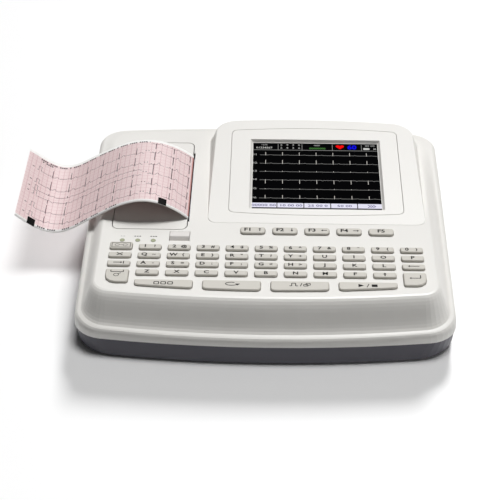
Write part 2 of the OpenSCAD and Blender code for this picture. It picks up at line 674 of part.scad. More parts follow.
module idler_axle() color(steel) on_deck()
  along_deck(idler_at[0], gear_y - 0.5, idler_at[1]) cylinder(h = plate_y + 1.2 - gear_y + 0.5, r = 2, $fn = 48);
rotor_r = 1.5;
rotor_in = 4; // length of the rotor shaft inside the motor
module motor_pinion() color([0.8, 0.68, 0.35]) {
  gear(pinion_at, pinion_teeth, pinion_phase, rotor_r);
  on_deck() along_deck(pinion_at[0], gear_y, pinion_at[1])
    cylinder(h = motor_y + rotor_in - gear_y, r = rotor_r, $fn = 48);
}
motor_y = plate_y + plate_t;
module stepper_motor() color([0.6, 0.6, 0.62]) on_deck() along_deck(pinion_at[0], motor_y, pinion_at[1])
  difference() {
    cylinder(h = motor_l, r = motor_d / 2, $fn = 64);
    translate([0, 0, -cut]) cylinder(h = rotor_in + seat + cut, r = rotor_r + fit, $fn = 48);
  }
module print_head() color([0.62, 0.63, 0.66]) on_deck() difference() {
  box(head_x0, head_x1, paper_y - paper_w / 2, paper_y + paper_w / 2, -19, -3.4);
  for (z = [-16.5 : 3 : -7]) box(head_x0 + 3, head_x1 - 1.5, paper_y - paper_w, paper_y + paper_w, z, z + 1.5);
}
module paper_roll() color([0.93, 0.83, 0.83]) on_deck()
  along_deck(roll_x, paper_y - paper_w / 2, roll_z) difference() {
    cylinder(h = paper_w, r = roll_r, $fn = 96);
    translate([0, 0, -cut]) cylinder(h = paper_w + 2 * cut, r = core_r, $fn = 64);
  }
module roll_core() color([0.6, 0.48, 0.36]) on_deck()
  along_deck(roll_x, paper_y - paper_w / 2, roll_z) difference() {
    cylinder(h = paper_w, r = core_r, $fn = 64);
    translate([0, 0, -cut]) cylinder(h = paper_w + 2 * cut, r = core_r - 1.5, $fn = 64);
  }

// The strip leaves the slot, arches over the lid and sags past the side of the housing.
// Pairs give the near and the far edge: the paper curls a little more along its near edge.
strip_x = lid_right + 0.8;
strip_z = -0.4;
arch_run = [88, 95];
arch_h = [19.7, 18.3];
arch_lean = 0.9; // under 1 the arch is steeper beside the slot
sag_run = [70, 59];
sag_h = [17.4, 12.8];
sag_lean = 1.1;
strip_steps = 56;
function strip_rise(d, e) = strip_z + (d < arch_run[e] ? arch_h[e] * sin(180 * pow(d / arch_run[e], arch_lean))
  : -sag_h[e] * sin(180 * pow((d - arch_run[e]) / sag_run[e], sag_lean)));
function strip_at(i, e) = let (d = strip_run * i / strip_steps) [strip_x - d, strip_rise(d, e)];
function strip_normal(i, e) =
  let (a = strip_at(max(i - 1, 0), e), b = strip_at(min(i + 1, strip_steps), e), t = (b - a) / norm(b - a))
  [t.y, -t.x];
module paper_strip() color([0.95, 0.83, 0.84]) on_deck() polyhedron(
  points = [for (i = [0 : strip_steps], e = [0, 1], side = [1, -1])
    let (p = strip_at(i, e) + side * strip_normal(i, e) * paper_t / 2)
    [p.x, paper_y + (e - 0.5) * paper_w, p.y]],
  // Each station has the points near top, near underside, far top, far underside.
  faces = concat(
    [[0, 2, 3], [0, 3, 1]],
    [for (i = [0 : strip_steps - 1], f = [[0, 4, 6], [0, 6, 2], [1, 3, 7], [1, 7, 5],
      [0, 1, 5], [0, 5, 4], [2, 6, 7], [2, 7, 3]]) [for (k = f) k + 4 * i]],
    [for (f = [[0, 1, 3], [0, 3, 2]]) [for (k = f) k + 4 * strip_steps]]
  ));

button_travel = 2;
button_foot = -9;
button_low = -6;
module release_button() color(shell_white) on_deck() difference() {
  union() {
    box(button_x0, button_x1, button_y0, button_y1, button_low, 0.2);
    post((button_x0 + button_x1) / 2, (button_y0 + button_y1) / 2, button_foot, button_low + 0.5, 2.5);
  }
  translate([button_x0 - cut, (button_y0 + button_y1) / 2 - 0.6, 13.6]) rotate([0, 90, 0])
    cylinder(h = button_x1 - button_x0 + 2 * cut, r = 15.4, $fn = 96);
}
spring_r = 3.4;
module release_spring() color(steel) on_deck()
  translate([(button_x0 + button_x1) / 2, (button_y0 + button_y1) / 2, 0]) difference() {
    translate([0, 0, well_floor]) cylinder(h = button_low - well_floor, r = spring_r + 0.8, $fn = 32);
    translate([0, 0, well_floor - cut]) cylinder(h = 20, r = spring_r, $fn = 32);
  }

// ---- Electronics ----
board_x1 = 5 * key_pitch_x + 8;
board_y0 = space_front - 5;
board_y1 = key_row_y + key_d + 3.8;
board_y2 = fkey_y + fkey_d + 1.2;
module keypad_board() color(board_green) on_deck() translate([0, 0, board_top - board_t])
  linear_extrude(board_t) polygon([[-board_x1 + 10, board_y0], [board_x1 - 10, board_y0], [board_x1, board_y0 + 7],
    [board_x1, board_y2], [-28, board_y2], [-28, board_y1], [-board_x1, board_y1], [-board_x1, board_y0 + 7]]);
module status_leds() color([0.72, 0.74, 0.5]) on_deck()
  for (x = led_x) {
    post(x, led_y, -wall - 1.2, 0.3, led_r);
    post(x, led_y, -wall - 1.2, -wall, led_r + 1);
  }
module main_board() color(board_green) {
  box(main_board_form[0], main_board_form[1], main_board_form[2], main_board_form[3], board_z, board_z + board_t);
  for (c = [[10, 10, 22, 22, 2.4], [50, 20, 18, 14, 3], [90, 5, 28, 20, 9], [110, 40, 20, 12, 6], [20, 42, 12, 12, 2]])
    box(c[0], c[0] + c[2], c[1], c[1] + c[3], board_z + board_t, board_z + board_t + c[4]);
}
module power_supply() color([0.75, 0.62, 0.25]) {
  box(power_board_form[0], power_board_form[1], power_board_form[2], power_board_form[3], power_z, power_z + board_t);
  box(-6, 24, 78, 108, power_z + board_t, power_z + board_t + 20);
  for (x = [38, 54]) post(x, 95, power_z + board_t, power_z + board_t + 22, 6.5);
}
module battery_pack() color([0.16, 0.3, 0.55])
  box(battery_x - battery_w / 2, battery_x + battery_w / 2, battery_y - battery_d / 2, battery_y + battery_d / 2,
    floor_z, floor_z + battery_h);
module battery_cover() color(base_grey)
  box(battery_x - cover_w / 2 + cover_gap, battery_x + cover_w / 2 - cover_gap, battery_y - cover_d / 2 + cover_gap,
    battery_y + cover_d / 2 - cover_gap, base_lift, floor_z);
module speaker() color([0.1, 0.1, 0.1]) {
  post(speaker_at.x, speaker_at.y, floor_z, floor_z + 3, speaker_r - 0.3);
  post(speaker_at.x, speaker_at.y, floor_z + 3, floor_z + 7, speaker_r * 0.6);
}

// ---- Connectors ----
inlet_x = rear_panel_x + 20;
rocker_x = rear_panel_x - 12;
stud_x = rear_panel_x - 34;
inlet_w = 28;
inlet_h = 22;
rocker_w = 13;
rocker_h = 20;
module rear_panel() color([0.8, 0.8, 0.79]) difference() {
  box(rear_panel_x - rear_panel_w / 2 + 0.2, rear_panel_x + rear_panel_w / 2 - 0.2, rear_inner_y, rear_face_y,
    rear_panel_z - rear_panel_h / 2 + 0.2, rear_panel_z + rear_panel_h / 2 - 0.2);
  box(inlet_x - inlet_w / 2, inlet_x + inlet_w / 2, 0, body_d, rear_panel_z - inlet_h / 2, rear_panel_z + inlet_h / 2);
  box(rocker_x - rocker_w / 2 - 2, rocker_x + rocker_w / 2 + 2, 0, body_d,
    rear_panel_z - rocker_h / 2 - 2, rear_panel_z + rocker_h / 2 + 2);
  translate([stud_x, rear_inner_y - cut, rear_panel_z]) rotate([-90, 0, 0])
    cylinder(h = panel_t + 2 * cut, r = 3, $fn = 32);
}
inlet_wall = 2;
inlet_depth = 22;
socket_depth = 17;
pin_at = [[-7, -1], [7, -1], [0, 3.2]];
module mains_inlet() color([0.08, 0.08, 0.09]) {
  difference() {
    union() {
      box(inlet_x - inlet_w / 2, inlet_x + inlet_w / 2, rear_inner_y - inlet_depth, rear_face_y,
        rear_panel_z - inlet_h / 2, rear_panel_z + inlet_h / 2);
      box(inlet_x - inlet_w / 2 - 3, inlet_x + inlet_w / 2 + 3, rear_face_y, rear_face_y + 1.6,
        rear_panel_z - inlet_h / 2 - 2.5, rear_panel_z + inlet_h / 2 + 2.5);
    }
    box(inlet_x - inlet_w / 2 + inlet_wall, inlet_x + inlet_w / 2 - inlet_wall, rear_face_y - socket_depth, body_d,
      rear_panel_z - inlet_h / 2 + inlet_wall, rear_panel_z + inlet_h / 2 - inlet_wall);
  }
  for (p = pin_at) box(inlet_x + p[0] - 1, inlet_x + p[0] + 1, rear_face_y - socket_depth - cut, rear_face_y - 4,
    rear_panel_z + p[1] - 2, rear_panel_z + p[1] + 2);
}
rocker_axis_y = rear_face_y - 1;
rocker_angle = 9; // the rocker lies this far off the middle at rest
pivot_r = 1.2;
module rocker_pin(l, r) translate([rocker_x - rocker_w / 2 - l, rocker_axis_y, rear_panel_z]) rotate([0, 90, 0])
  cylinder(h = rocker_w + 2 * l, r = r, $fn = 48);
module rocker_frame() color([0.08, 0.08, 0.09]) difference() {
  union() {
    box(rocker_x - rocker_w / 2 - 2, rocker_x + rocker_w / 2 + 2, rear_inner_y - 12, rear_face_y,
      rear_panel_z - rocker_h / 2 - 2, rear_panel_z + rocker_h / 2 + 2);
    box(rocker_x - rocker_w / 2 - 3.5, rocker_x + rocker_w / 2 + 3.5, rear_face_y, rear_face_y + 1.2,
      rear_panel_z - rocker_h / 2 - 3.5, rear_panel_z + rocker_h / 2 + 3.5);
  }
  box(rocker_x - rocker_w / 2 - seat, rocker_x + rocker_w / 2 + seat, rear_inner_y - 8, body_d,
    rear_panel_z - rocker_h / 2 - 0.6, rear_panel_z + rocker_h / 2 + 0.6);
  rocker_pin(1.5, pivot_r + fit);
}
module power_rocker() color([0.12, 0.12, 0.13]) {
  rocker_pin(1.2, pivot_r);
  translate([rocker_x - rocker_w / 2, rocker_axis_y, rear_panel_z]) rotate([rocker_angle, 0, 0])
    rotate([90, 0, 90]) linear_extrude(rocker_w)
      polygon([[2.6, -rocker_h / 2 + 0.8], [1.6, 0], [2.6, rocker_h / 2 - 0.8], [-2, rocker_h / 2 - 1.6], [-5, 3],
        [-5, -3], [-2, -rocker_h / 2 + 1.6]]);
}
module earth_stud() color([0.8, 0.75, 0.5]) translate([stud_x, 0, rear_panel_z]) rotate([-90, 0, 0]) {
  translate([0, 0, rear_inner_y - 8]) cylinder(h = 8 + panel_t + stud_l, r = 3, $fn = 48);
  translate([0, 0, rear_face_y]) cylinder(h = 2, r = 5, $fn = 6);
  translate([0, 0, rear_inner_y - 3]) cylinder(h = 3, r = 5.5, $fn = 6);
}
patient_y = side_panel_y - 18;
patient_l = 40;
patient_h = 13;
network_y = side_panel_y + 27;
network_l = 16;
network_h = 14;
module side_panel() color([0.8, 0.8, 0.79]) difference() {
  box(side_inner_x, side_face_x, side_panel_y - side_panel_l / 2 + 0.2, side_panel_y + side_panel_l / 2 - 0.2,
    side_panel_z - side_panel_h / 2 + 0.2, side_panel_z + side_panel_h / 2 - 0.2);
  box(0, body_w, patient_y - patient_l / 2, patient_y + patient_l / 2,
    side_panel_z - patient_h / 2, side_panel_z + patient_h / 2);
  box(0, body_w, network_y - network_l / 2, network_y + network_l / 2,
    side_panel_z - network_h / 2, side_panel_z + network_h / 2);
}
// Fifteen-way D-shaped socket for the patient cable.
shell_l = 25;
shell_h = 8.4;
module patient_socket() color([0.7, 0.7, 0.72]) difference() {
  union() {
    box(side_inner_x - 9, side_face_x + 0.4, patient_y - patient_l / 2, patient_y + patient_l / 2,
      side_panel_z - patient_h / 2, side_panel_z + patient_h / 2);
    translate([side_face_x, patient_y, side_panel_z]) rotate([90, 0, 90]) linear_extrude(1.6)
      polygon([[-shell_l / 2 + 1, -shell_h / 2], [shell_l / 2 - 1, -shell_h / 2], [shell_l / 2, shell_h / 2],
        [-shell_l / 2, shell_h / 2]]);
    for (y = [-33.3 / 2, 33.3 / 2]) translate([side_face_x, patient_y + y, side_panel_z]) rotate([0, 90, 0])
      cylinder(h = 2, r = 2.6, $fn = 6);
  }
  for (i = [0 : 14]) translate([side_face_x - 6, patient_y + (i < 8 ? (i - 3.5) : (i - 11)) * 2.75,
      side_panel_z + (i < 8 ? 1.4 : -1.4)]) rotate([0, 90, 0]) cylinder(h = 12, r = 0.5, $fn = 16);
}
network_wall = 1.6;
module network_socket() color([0.65, 0.65, 0.68]) difference() {
  box(side_inner_x - 12, side_face_x + 0.4, network_y - network_l / 2, network_y + network_l / 2,
    side_panel_z - network_h / 2, side_panel_z + network_h / 2);
  box(side_face_x - 11, body_w, network_y - network_l / 2 + network_wall, network_y + network_l / 2 - network_wall,
    side_panel_z - network_h / 2 + network_wall, side_panel_z + network_h / 2 - network_wall - 2);
  box(side_face_x - 6, body_w, network_y - 3, network_y + 3, side_panel_z, side_panel_z + network_h / 2 - 0.8);
}

// ---- Fasteners and feet ----
module rubber_feet() color([0.1, 0.1, 0.1])
  for (f = foot_at) post(f.x, f.y, 0, base_lift + foot_sink, foot_r);
screw_l = 24;
module case_screws() color(steel) for (s = screw_spots) {
  post(s.x, s.y, base_lift + 1, base_lift + 3, 2.8);
  post(s.x, s.y, base_lift + 2, base_lift + screw_l, screw_r);
}

// ---- Keys ----
module key_group(keys) color(key_beige) for (k = keys) key_cap(k);
module key_power() color(key_beige) framed_key_cap(power_key());
module key_escape() key_group([small_key(0, 1)]);
module key_tab() key_group([small_key(0, 2)]);
module key_space() key_group([space_key(0, space_radii)]);
module key_function() key_group([small_key(8, 3)]);
module key_shift() key_group([small_key(9, 3)]);
module key_backspace() key_group([small_key(10, 2)]);
module key_enter() key_group([space_key(10, enter_radii)]);
module key_f1() key_group([f_key(0)]);
module key_f2() key_group([f_key(1)]);
module key_f3() key_group([f_key(2)]);
module key_f4() key_group([f_key(3)]);
module key_f5() key_group([f_key(4)]);
module key_mode() key_group([wide_key(0)]);
module key_reset() key_group([wide_key(1)]);
module key_copy() key_group([wide_key(2)]);
module key_start() key_group([wide_key(3)]);
module keys_digits() key_group([for (c = [1 : 10]) small_key(c, 0)]);
module keys_letters_upper() key_group([for (c = [1 : 10]) small_key(c, 1)]);
module keys_letters_middle() key_group([for (c = [1 : 9]) small_key(c, 2)]);
module keys_letters_lower() key_group([for (c = [1 : 7]) small_key(c, 3)]);

base_tray();
top_housing();
screen_bezel();
display_window();
lcd_module();
paper_tray();
paper_lid();
lid_hinge_pin();
platen_roller();
platen_shaft();
platen_gear();
idler_gear();
idler_axle();
motor_pinion();
stepper_motor();
print_head();
paper_roll();
roll_core();
paper_strip();
release_button();
release_spring();
keypad_board();
status_leds();
main_board();
power_supply();
battery_pack();
battery_cover();
speaker();
rear_panel();
mains_inlet();
power_rocker();
rocker_frame();
earth_stud();
side_panel();
patient_socket();
network_socket();
rubber_feet();
case_screws();
key_power();
key_escape();
key_tab();
key_space();
key_function();
key_shift();
key_backspace();
key_enter();
key_f1();
key_f2();
key_f3();
key_f4();
key_f5();
key_mode();
key_reset();
key_copy();
key_start();
keys_digits();
keys_letters_upper();
keys_letters_middle();
keys_letters_lower();
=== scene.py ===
"""Looks of the ECG machine: a portable recorder with a keyboard deck, a tilted display and a paper roll."""

import json
import math

import bpy
from mathutils import Matrix, Vector

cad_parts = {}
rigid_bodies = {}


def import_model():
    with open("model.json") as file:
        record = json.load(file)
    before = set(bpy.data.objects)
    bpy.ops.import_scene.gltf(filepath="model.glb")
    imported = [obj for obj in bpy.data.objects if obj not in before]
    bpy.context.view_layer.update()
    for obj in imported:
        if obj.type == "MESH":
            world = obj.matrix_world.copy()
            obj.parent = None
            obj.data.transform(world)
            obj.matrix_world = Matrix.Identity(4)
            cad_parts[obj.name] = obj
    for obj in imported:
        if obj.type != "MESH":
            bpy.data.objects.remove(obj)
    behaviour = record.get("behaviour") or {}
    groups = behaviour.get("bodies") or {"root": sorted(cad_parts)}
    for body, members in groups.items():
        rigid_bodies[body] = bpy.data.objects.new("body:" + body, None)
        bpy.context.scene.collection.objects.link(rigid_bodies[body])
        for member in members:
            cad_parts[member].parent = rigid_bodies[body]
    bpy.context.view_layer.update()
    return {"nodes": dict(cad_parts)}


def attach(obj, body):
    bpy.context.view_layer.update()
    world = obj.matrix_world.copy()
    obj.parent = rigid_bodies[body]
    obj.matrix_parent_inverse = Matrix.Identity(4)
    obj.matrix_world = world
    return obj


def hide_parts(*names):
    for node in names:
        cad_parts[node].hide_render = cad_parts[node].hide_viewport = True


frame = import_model()
scene = bpy.context.scene
MM = 0.001

# ---- The same places as in the source of the part, in millimetres ----
DECK_H = 63.0
DECK_TILT = math.radians(4.0)
POD_TILT = math.radians(10.0)
POD_X = 46.0
POD_FRONT = -15.0
POD_STEP = 0.15
POD_H = DECK_H + math.tan(DECK_TILT) * POD_FRONT + POD_STEP - math.tan(POD_TILT) * POD_FRONT
BEZEL_T = 3.0
KEY_PROUD = 2.0
PAPER_Y = 42.3
PAPER_W = 105.0


def deck(x, y, z=0.0):
    """A point on the keyboard deck (x across, y up the deck, z out of it), in metres."""
    s, c = math.sin(DECK_TILT), math.cos(DECK_TILT)
    return Vector((x, y * c - z * s, DECK_H + y * s + z * c)) * MM


def display(x, y, z=0.0):
    """A point on the display (x from its middle, y up its slope, z out of it), in metres."""
    s, c = math.sin(POD_TILT), math.cos(POD_TILT)
    return Vector((POD_X + x, y * c - z * s, POD_H + y * s + z * c)) * MM


# ---- Camera, fitted to the photograph ----
CAMERA_PLACE = (0.0, -1.0549, 0.7269)
CAMERA_RIGHT = (0.9998, 0.0176, 0.0048)
CAMERA_LOOK = (-0.012, 0.8314, -0.5555)
CAMERA_LENS, CAMERA_SENSOR = 96.7, 36.0
CAMERA_CLIP = (0.05, 50.0)


def add_camera():
    """The scene's camera."""
    data = bpy.data.cameras.new("camera")
    data.lens = CAMERA_LENS
    data.sensor_width = CAMERA_SENSOR
    data.clip_start, data.clip_end = CAMERA_CLIP
    right = Vector(CAMERA_RIGHT).normalized()
    look = Vector(CAMERA_LOOK).normalized()
    up = right.cross(look).normalized()
    rotation = Matrix((right, up, -look)).transposed()
    camera = bpy.data.objects.new("camera", data)
    camera.matrix_world = Matrix.Translation(CAMERA_PLACE) @ rotation.to_4x4()
    scene.collection.objects.link(camera)
    scene.camera = camera


add_camera()

# ---- Materials ----
MIX_FACTOR, MIX_A, MIX_B, MIX_RESULT = 0, 6, 7, 2  # sockets of a Mix node that mixes colours
BUMP_DEPTH = 0.0001
BROAD_SCALE, INK_SCALE, FIBRE_SCALE = 18.0, 900.0, 700.0  # of the noise in plastic, ink and paper
STREAKS = (4.0, 300.0, 300.0)  # drawn metal: few along it, many across
PLASTIC_SPREAD = 0.04  # how far the roughness strays
METAL_SPREAD = (-0.08, 0.12)


class Shade:
    """A new material, with the nodes that feed its shader."""

    def __init__(self, name):
        self.material = bpy.data.materials.new(name)
        self.material.use_nodes = True
        self.nodes = self.material.node_tree.nodes

    def join(self, value, socket):
        """Feeds a socket from a node's output, or sets it to a number, a vector or a colour."""
        if isinstance(value, bpy.types.NodeSocket):
            self.material.node_tree.links.new(value, socket)
        else:
            socket.default_value = (*value, 1.0) if socket.type == "RGBA" else value

    def node(self, kind, output, inputs, **settings):
        """Adds a node with these inputs and settings, and gives one of its outputs."""
        node = self.nodes.new("ShaderNode" + kind)
        for key, value in settings.items():
            setattr(node, key, value)
        for key, value in inputs.items():
            self.join(value, node.inputs[key])
        return node.outputs[output]

    def noise(self, scale, detail=2.0, coords=None):
        """Noise from 0 to 1, over the piece's own coordinates where they are given."""
        inputs = {"Scale": scale, "Detail": detail}
        if coords is not None:
            inputs["Vector"] = coords
        return self.node("TexNoise", "Fac", inputs)

    def spread(self, value, low, high):
        """Takes a value from the range 0 to 1 to the range low to high."""
        return self.node("MapRange", "Result", {"Value": value, "To Min": low, "To Max": high})

    def mix(self, factor, low, high):
        """A colour from low to high, by a factor from 0 to 1."""
        return self.node("Mix", MIX_RESULT, {MIX_FACTOR: factor, MIX_A: low, MIX_B: high}, data_type="RGBA")

    def uneven(self, factor, color, share):
        """A colour that gets darker and lighter by this share."""
        dark = [c * (1.0 - share) for c in color]
        light = [min(c * (1.0 + share), 1.0) for c in color]
        return self.mix(factor, dark, light)

    def done(self, inputs):
        """Feeds the shader itself, and gives the material."""
        for key, value in inputs.items():
            self.join(value, self.nodes["Principled BSDF"].inputs[key])
        return self.material


def plastic(name, color, rough=0.42, grain=0.12, grain_scale=1400.0, edge=0.0, mottle=0.02):
    """Moulded plastic: fine spark-eroded grain, faint unevenness of colour and gloss, softened edges."""
    shade = Shade(name)
    coords = shade.node("TexCoord", "Object", {})
    fine = shade.noise(grain_scale, 3.0, coords)
    broad = shade.noise(BROAD_SCALE, 2.0, coords)
    bump = {"Strength": grain, "Distance": BUMP_DEPTH, "Height": fine}
    if edge > 0.0:
        bump["Normal"] = shade.node("Bevel", "Normal", {"Radius": edge}, samples=4)
    return shade.done({
        "Base Color": shade.uneven(broad, color, mottle),
        "Roughness": shade.spread(broad, rough - PLASTIC_SPREAD, rough + PLASTIC_SPREAD),
        "Normal": shade.node("Bump", "Normal", bump),
    })


def metal(name, color, rough=0.3):
    """Turned or drawn metal with fine streaks along it."""
    shade = Shade(name)
    coords = shade.node("TexCoord", "Object", {})
    streaks = shade.node("Mapping", "Vector", {"Vector": coords, "Scale": STREAKS})
    noise = shade.noise(6.0, 4.0, streaks)
    return shade.done({
        "Base Color": color,
        "Metallic": 1.0,
        "Roughness": shade.spread(noise, rough + METAL_SPREAD[0], rough + METAL_SPREAD[1]),
    })


def flat_ink(name, color):
    """Printed ink, a little uneven."""
    shade = Shade(name)
    tint = shade.uneven(shade.noise(INK_SCALE), color, 0.15)
    return shade.done({"Base Color": tint, "Roughness": 0.6, "Specular IOR Level": 0.1})


def glow(name, color):
    """A lit part of the screen."""
    return Shade(name).done({
        "Base Color": (0.0, 0.0, 0.0),
        "Emission Color": color,
        "Emission Strength": 1.0,
        "Roughness": 0.3,
        "Specular IOR Level": 0.0,
    })


WHITE = (0.80, 0.785, 0.75)
button_pink = plastic("button_pink", (0.74, 0.71, 0.68), rough=0.4, edge=0.0004)
key_nodes = [n for n in frame["nodes"] if n.startswith("key") and n != "keypad_board"]
FINISHES = [
    (plastic("shell_white", WHITE, rough=0.38, edge=0.00012), ["top_housing"]),
    (plastic("lid_white", WHITE, rough=0.4, edge=0.0004), ["paper_lid"]),
    (plastic("bezel_white", WHITE, rough=0.36, edge=0.0003), ["screen_bezel"]),
    (plastic("tray_grey", (0.092, 0.090, 0.110), rough=0.45, grain=0.2, edge=0.0004),
     ["base_tray", "battery_cover"]),
    (plastic("key_grey", (0.60, 0.575, 0.52), rough=0.45, grain=0.1, edge=0.0004), key_nodes),
    (plastic("inner_grey", (0.55, 0.55, 0.53), rough=0.5), ["paper_tray"]),
    (plastic("panel_grey", (0.42, 0.42, 0.41), rough=0.45, edge=0.0002), ["rear_panel", "side_panel"]),
    (plastic("black_plastic", (0.018, 0.018, 0.02), rough=0.4, grain=0.2, edge=0.0002),
     ["mains_inlet", "power_rocker", "rocker_frame", "lcd_module", "speaker", "patient_socket"]),
    (plastic("rubber", (0.022, 0.022, 0.022), rough=0.75, grain=0.3, edge=0.0003),
     ["rubber_feet", "platen_roller"]),
    (plastic("board_green", (0.02, 0.11, 0.045), rough=0.35, grain=0.3, grain_scale=500.0, mottle=0.25),
     ["keypad_board", "main_board", "power_supply"]),
    (plastic("acetal", (0.75, 0.72, 0.6), rough=0.4), ["platen_gear", "idler_gear"]),
    (plastic("wrap_blue", (0.03, 0.09, 0.28), rough=0.3), ["battery_pack"]),
    (plastic("card", (0.33, 0.23, 0.14), rough=0.8, grain=0.5, grain_scale=300.0, mottle=0.15),
     ["roll_core"]),
    (button_pink, ["release_button"]),
    (plastic("led_lens", (0.345, 0.372, 0.235), rough=0.2, grain=0.0, edge=0.0004), ["status_leds"]),
    (plastic("window_black", (0.004, 0.004, 0.006), rough=0.12, grain=0.0), ["display_window"]),
    (plastic("paper_side", (0.78, 0.6, 0.6), rough=0.8, grain=0.2), ["paper_roll", "paper_strip"]),
    (metal("steel", (0.55, 0.56, 0.57)),
     ["lid_hinge_pin", "platen_shaft", "idler_axle", "stepper_motor", "release_spring", "case_screws"]),
    (metal("brass", (0.72, 0.56, 0.27)), ["motor_pinion", "earth_stud"]),
    (metal("alloy", (0.6, 0.61, 0.63), rough=0.4), ["print_head", "network_socket"]),
]
for finish, names in FINISHES:
    for name in names:
        for material_slot in frame["nodes"][name].material_slots:
            material_slot.link = "OBJECT"
            material_slot.material = finish

TRUE_EDGE = math.radians(30.0)


def soften(obj):
    """Shades curved skins smoothly and keeps true edges sharp."""
    edges = obj.modifiers.new("sharp_edges", "EDGE_SPLIT")
    edges.split_angle = TRUE_EDGE
    normals = obj.modifiers.new("weighted", "WEIGHTED_NORMAL")
    normals.weight = 80


for name, node in frame["nodes"].items():
    if name != "paper_strip":
        soften(node)


# ---- Pieces of the scene's own ----
def add_mesh(name, verts, faces, material, body):
    """A new piece that rides on a body."""
    mesh = bpy.data.meshes.new(name)
    mesh.from_pydata([tuple(v) for v in verts], [], faces)
    mesh.update()
    mesh.materials.append(material)
    obj = bpy.data.objects.new(name, mesh)
    scene.collection.objects.link(obj)
    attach(obj, body)
    return obj


class Sheet:
    """Thin flat shapes on one surface, gathered into one mesh."""

    def __init__(self, place, lift):
        self.place, self.lift = place, lift
        self.verts, self.faces = [], []

    def polygon(self, points):
        """A filled shape, counterclockwise."""
        first = len(self.verts)
        self.verts += [self.place(x, y, self.lift) for x, y in points]
        self.faces.append(list(range(first, len(self.verts))))

    def rectangle(self, x0, x1, y0, y1):
        """A filled rectangle."""
        self.polygon([(x0, y0), (x1, y0), (x1, y1), (x0, y1)])

    def line(self, points, width):
        """A polyline of constant width, one quad for each segment."""
        for (xa, ya), (xb, yb) in zip(points, points[1:]):
            run = math.hypot(xb - xa, yb - ya)
            if run < 1e-6:
                continue
            nx, ny = (ya - yb) / run * width / 2, (xb - xa) / run * width / 2
            self.polygon([(xa - nx, ya - ny), (xb - nx, yb - ny), (xb + nx, yb + ny), (xa + nx, ya + ny)])

    def outline(self, x0, x1, y0, y1, width):
        """The four sides of a rectangle."""
        self.line([(x0, y0), (x1, y0), (x1, y1), (x0, y1), (x0, y0)], width)

    def ring(self, x, y, rx, ry, width, start=0):
        """An oval line, left open from 0 to start degrees."""
        turn = [math.radians(a) for a in range(start, 361, 20)]
        self.line([(x + rx * math.cos(a), y + ry * math.sin(a)) for a in turn], width)

    def text(self, words, x, y, size, stretch=1.0, weight=0.012):
        """Words about a middle, made wider by stretch and bolder by weight."""
        curve = bpy.data.curves.new("words", "FONT")
        curve.body = words
        curve.size = size
        curve.align_x = curve.align_y = "CENTER"
        curve.resolution_u = 2
        curve.offset = weight * size
        holder = bpy.data.objects.new("words", curve)
        scene.collection.objects.link(holder)
        bpy.context.view_layer.update()
        mesh = holder.to_mesh()
        first = len(self.verts)
        self.verts += [self.place(x + v.co.x * stretch, y + v.co.y, self.lift) for v in mesh.vertices]
        self.faces += [[first + i for i in p.vertices] for p in mesh.polygons]
        holder.to_mesh_clear()
        bpy.data.objects.remove(holder)
        bpy.data.curves.remove(curve)

    def build(self, name, material, body):
        """Makes the piece of all that was gathered."""
        add_mesh(name, self.verts, self.faces, material, body)


# ---- Recording paper ----
STRIP_X, STRIP_Z = -72.2, -0.4
STRIP_RUN = 160.5
PAPER_T = 0.25
PAPER_MARGIN = 4.0
ARCHES = ((88.0, 19.7, 70.0, 17.4), (95.0, 18.3, 57.0, 12.8))  # near and far edge: run, height, run, depth
ARCH_LEAN, SAG_LEAN = 0.9, 1.1
FINE_PITCH, BOLD_PITCH = 1.0, 5.0
SLOT_SHADE_REACH = 1.6  # how far the painted shade at the slot reaches: a darker red band standing in for the paper's shaded turn down into the slot
STEPS, ROWS = 220, 24  # cells of the mesh along and across


def edge_rise(d, arch_run, arch_h, sag_run, sag_h):
    """Height of one edge at a distance d from the slot: an arch, then a sag."""
    if d < arch_run:
        return STRIP_Z + arch_h * math.sin(math.pi * (d / arch_run) ** ARCH_LEAN)
    return STRIP_Z - sag_h * math.sin(math.pi * ((d - arch_run) / sag_run) ** SAG_LEAN)


def strip_rise(d, v):
    """Height over the deck at a distance d from the slot and v across the paper from its middle."""
    d = min(max(d, 0.0), STRIP_RUN)
    near, far = (edge_rise(d, *arch) for arch in ARCHES)
    return near + (far - near) * (v / PAPER_W + 0.5)


RUN = [0.0]  # length along the curve at each step
for i in range(STEPS):
    da, db = STRIP_RUN * i / STEPS, STRIP_RUN * (i + 1) / STEPS
    RUN.append(RUN[-1] + math.hypot(db - da, strip_rise(db, 0.0) - strip_rise(da, 0.0)))


def on_paper(s, v, lift=0.0):
    """A point s along the paper from the slot and v across it from its middle, in metres."""
    s = min(max(s, 0.0), RUN[-1])
    i = next(k for k in range(STEPS) if RUN[k + 1] >= s - 1e-9)
    d = STRIP_RUN * (i + (s - RUN[i]) / (RUN[i + 1] - RUN[i])) / STEPS
    da, db = max(d - 0.4, 0.0), min(d + 0.4, STRIP_RUN)
    climb = strip_rise(db, v) - strip_rise(da, v)
    run = math.hypot(db - da, climb)
    return deck(STRIP_X - d + climb / run * lift, PAPER_Y + v, strip_rise(d, v) + (db - da) / run * lift)


